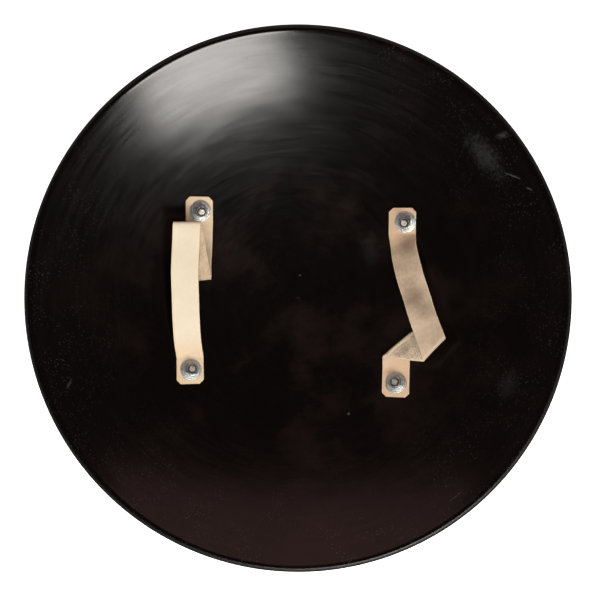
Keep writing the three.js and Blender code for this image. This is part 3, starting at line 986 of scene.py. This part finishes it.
def paint_surface():
    """Black enamel with faint streaks along the dish's circles, brown wear, dust and the marks."""
    paint = Surface("black_enamel")
    place = paint.place()
    flat = paint.vector("MULTIPLY", place, (1, 1, 0))
    radius = paint.vector("LENGTH", flat, output="Value")
    streaks = polar_noise(paint, flat, radius, STREAKS)
    brushing = polar_noise(paint, flat, radius, BRUSHING)
    swells = polar_noise(paint, flat, radius, SWELLS)

    grey = paint_grey(paint, radius)
    rough = paint.range(paint.noise(PAINT_CLOUDS, 4), *NOISE_SPAN, *PAINT_ROUGHNESS)
    for change in (
        paint.range(streaks, *NOISE_MIDDLE, *STREAK_ROUGHNESS),
        paint.range(brushing, *NOISE_MIDDLE, *BRUSHING_ROUGHNESS),
        paint.range(radius, *RIM_GLOSS_FROM, 0.0, RIM_GLOSS),
        paint.range(radius, *ROLL_DULL_FROM, 0.0, ROLL_DULLNESS),
    ):
        rough = paint.math("ADD", rough, change)
    outline = paint.noise(MARK_OUTLINE, 5, fineness=0.7)
    ragged = paint.range(outline, *NOISE_SPAN, *MARK_RAGGEDNESS)
    for mark in PAINT_MARKS:
        around = math.radians(mark["around"])
        middle = Vector((math.cos(around), math.sin(around), 0)) * mark["radius"]
        share = spot(paint, place, middle, mark["turn"], mark["size"], ragged)
        grey = paint.math("ADD", grey, paint.math("MULTIPLY", share, mark["grey"]))
        rough = paint.math("ADD", rough, paint.math("MULTIPLY", share, mark["rough"]))

    wear = paint.range(paint.noise(WEAR_CLOUDS, 5, fineness=0.6), *WEAR_PATCHES)
    wear = paint.math("MULTIPLY", wear, paint.range(radius, *WEAR_TO, 1.0, WEAR_OUTSIDE))
    colour = paint.mix(wear, PAINT_BLACK, WORN_BROWN)
    colour = paint.mix(grey, colour, HAZE_WHITE)
    bump = paint.bump(swells, SWELL_RELIEF)
    bump = paint.bump(streaks, STREAK_RELIEF, bump)
    bump = paint.bump(brushing, BRUSHING_RELIEF, bump)
    bump = paint.bump(paint.noise(PEEL_SCALE, 2), PEEL_RELIEF, bump)
    return paint.finish(Base_Color=colour, Roughness=rough, Normal=bump)


def leather_surface(look):
    """Leather with soft clouds and pores. The grain side also has its own colour near the strap's ends,
    and darker patches of stains and painted shade."""
    hide = Surface(look["name"], Roughness=look["roughness"])
    mottle = hide.range(hide.noise(LEATHER_MOTTLE), *NOISE_SPAN, *MOTTLE_WEIGHT)
    cloud = hide.math("ADD", hide.noise(LEATHER_CLOUDS, 4), mottle)
    colour = hide.mix(hide.range(cloud, *NOISE_SPAN), look["deep"], look["pale"])
    if "end_colour" in look:
        near_end = hide.range(hide.attribute("from_end"), *END_COLOUR_FADE, 1.0, 0.0)
        deep_end = darker(look["end_colour"], END_COLOUR_DEEP)
        end = hide.mix(hide.range(cloud, *NOISE_WIDE_SPAN), deep_end, look["end_colour"])
        colour = hide.mix(near_end, colour, end)
    # Darker patches: stains, and painted shade.
    if "stains_and_shade" in look:
        place = hide.join(hide.attribute("along"), hide.attribute("across"), 0.0)
        ragged = hide.range(cloud, *NOISE_SPAN, *STAIN_AND_SHADE_RAGGEDNESS)
        for dark_patch in look["stains_and_shade"]:
            middle = (dark_patch["along"], dark_patch["across"], 0)
            share = spot(hide, place, middle, 0, dark_patch["size"], ragged)
            share = hide.math("MULTIPLY", share, dark_patch["dark"])
            colour = hide.mix(share, colour, look["stain_and_shade_colour"])
    bump = hide.bump(hide.cells(LEATHER_PORES), look["relief"])
    bump = hide.bump(hide.noise(LEATHER_CREASES), look["relief"] / 2, bump)
    return hide.finish(Base_Color=colour, Normal=bump)


def fibre_surface(look):
    """The flesh side: loose fibres that show as fine pale and dark flecks."""
    hide = Surface(look["name"], Roughness=FLESH_ROUGHNESS)
    flecks = hide.noise(FIBRE_FLECKS, 4, fineness=0.75)
    clouds = hide.range(hide.noise(FIBRE_CLOUDS), *NOISE_SPAN, *FIBRE_CLOUD_WEIGHT)
    share = hide.range(hide.math("ADD", flecks, clouds), *FIBRE_SPAN)
    colour = hide.mix(share, look["deep"], look["pale"])
    return hide.finish(Base_Color=colour, Normal=hide.bump(flecks, FLESH_RELIEF))


def zinc_surface(look):
    """Zinc plate with dull flecks, and rings of painted shade at some radii."""
    zinc = Surface(look["name"], Metallic=look["metallic"])
    mottle = zinc.noise(ZINC_MOTTLE, 4, fineness=0.7)
    flecks = zinc.noise(ZINC_FLECKS, fineness=0.7)
    shade = zinc.range(flecks, *FLECK_LIMITS, FLECK_SHADE, 1.0)
    if "shade_rings" in look:
        # Painted shade in rings round the nut's foot, across the face and at the rim.
        radius = zinc.attribute("radius")
        for ring in look["shade_rings"]:
            away = zinc.math("ABSOLUTE", zinc.math("SUBTRACT", radius, ring))
            ring_shade = zinc.range(away, 0.0, SHADE_RING_REACH, SHADE_RING_DARKNESS, 1.0)
            shade = zinc.math("MULTIPLY", shade, ring_shade)
    colour = zinc.mix(shade, darker(look["colour"], DULL_SHADE), look["colour"])
    rough = zinc.range(mottle, *NOISE_SPAN, *look["roughness"])
    return zinc.finish(Base_Color=colour, Roughness=rough, Normal=zinc.bump(mottle, look["relief"]))


def lock_ring_surface():
    ring = Surface("lock_ring", Base_Color=LOCK_RING_BLACK, Roughness=LOCK_RING_ROUGHNESS)
    return ring.finish(Normal=ring.bump(ring.noise(LOCK_RING_GRAIN, 2), LOCK_RING_RELIEF))


# The pieces

def settle(piece, node):
    """Puts a piece in the place of a node."""
    shade_by_angle(piece.data)
    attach(piece, "root")
    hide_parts(node)


drills = [hole_drill(fixing) for fixing in FIXINGS]

# The faces have to face outwards before the holes are cut.
dish = dish_piece("dish", [paint_surface()])
shade_by_angle(dish.data)
cut(dish, drills)
settle(dish, "shield_dish")

cut_edge = leather_surface(CUT_LEATHER)
straps = (
    ("arm_strap", ARM_STRAP, ARM_GRAIN_PAINTED_SHEEN_AND_SHADE, ARM_FLESH_SHADED),
    ("grip_strap", GRIP_STRAP, GRIP_GRAIN_STAINS_AND_SHADE, GRIP_FLESH_LIT),
)
for name, strap, grain, flesh in straps:
    sides = [leather_surface(grain), fibre_surface(flesh), cut_edge]
    piece = strap_piece(f"{name}_leather", strap, sides)
    shade_by_angle(piece.data)
    cut(piece, [drill for drill in drills if drill.name.endswith(strap["column"])])
    settle(piece, name)

for drill in drills:
    bpy.data.objects.remove(drill)

shaded_zinc, worn_zinc = zinc_surface(SHADED_NUT_ZINC), zinc_surface(WORN_ZINC)
builders = {
    "bolt": (bolt_piece, [shaded_zinc, worn_zinc]),
    "washer": (washer_piece, [zinc_surface(WASHER_ZINC)]),
    "nut": (nut_piece, [shaded_zinc, lock_ring_surface(), worn_zinc]),
}
for fixing in FIXINGS:
    for kind, (build, materials) in builders.items():
        piece = build(f"{kind}_{fixing['name']}_fine", materials)
        piece.data.transform(fixing_frame(fixing))
        settle(piece, f"{kind}_{fixing['name']}")


# Floor, lights and camera

def stage_floor():
    """A white floor that glows evenly and isn't mirrored in the shield's gloss."""
    corners = [(x * FLOOR_REACH, y * FLOOR_REACH, 0) for x, y in ((-1, -1), (1, -1), (1, 1), (-1, 1))]
    table = Surface("pale_floor", Base_Color=FLOOR_COLOUR, Roughness=FLOOR_ROUGHNESS)
    table.finish(Emission_Color=WHITE, Emission_Strength=1.0)
    floor = mesh_object("floor", corners, [(0, 1, 2, 3)], [table.material])
    floor.visible_glossy = False


def soft_light(name, light):
    """A rectangular light that faces the middle of the dish's flat spot."""
    around, off_top = math.radians(light["around"]), math.radians(light["off_top"])
    level = light["distance"] * math.sin(off_top)
    height = light["distance"] * math.cos(off_top)
    data = bpy.data.lights.new(name, "AREA")
    data.shape = "RECTANGLE"
    data.size, data.size_y = light["size"]
    data.energy = light["power"]
    data.color = light["colour"]
    lamp = bpy.data.objects.new(name, data)
    lamp.location = (level * math.cos(around), level * math.sin(around), height)
    lamp.rotation_euler = (-lamp.location).to_track_quat("-Z", "Y").to_euler()
    lamp.visible_glossy = light["mirrored"]
    bpy.context.scene.collection.objects.link(lamp)


def studio_walls():
    """Dark overhead and underneath, with pale walls low down all round."""
    world = bpy.data.worlds.new("studio")
    world.use_nodes = True
    sky = Nodes(world.node_tree)
    up = sky.split(sky.add("ShaderNodeTexCoord", {}, "Generated"))[2]
    wall = sky.range(up, WALL_TOP, WALL_FULL, CEILING_LIGHT, WALL_LIGHT)
    over_floor = sky.math("GREATER_THAN", up, 0.0)
    background = sky.tree.nodes["Background"]
    sky.set(background, "Color", WHITE)
    sky.set(background, "Strength", sky.math("MULTIPLY", wall, over_floor))
    bpy.context.scene.world = world


def photo_camera():
    camera = bpy.data.objects.new("camera", bpy.data.cameras.new("camera"))
    camera.data.lens = CAMERA_LENS
    offset = Matrix.Rotation(CAMERA_TURN, 2) @ Vector(CAMERA_OFFSET)
    camera.location = (offset.x, offset.y, CAMERA_HEIGHT)
    camera.rotation_euler = (0, 0, CAMERA_TURN)
    bpy.context.scene.collection.objects.link(camera)
    bpy.context.scene.camera = camera


stage_floor()
soft_light("key_light", KEY_LIGHT)
soft_light("soft_fill", SOFT_FILL)
soft_light("warm_fill", WARM_FILL)
studio_walls()
photo_camera()
bpy.context.scene.view_settings.view_transform = "Standard"
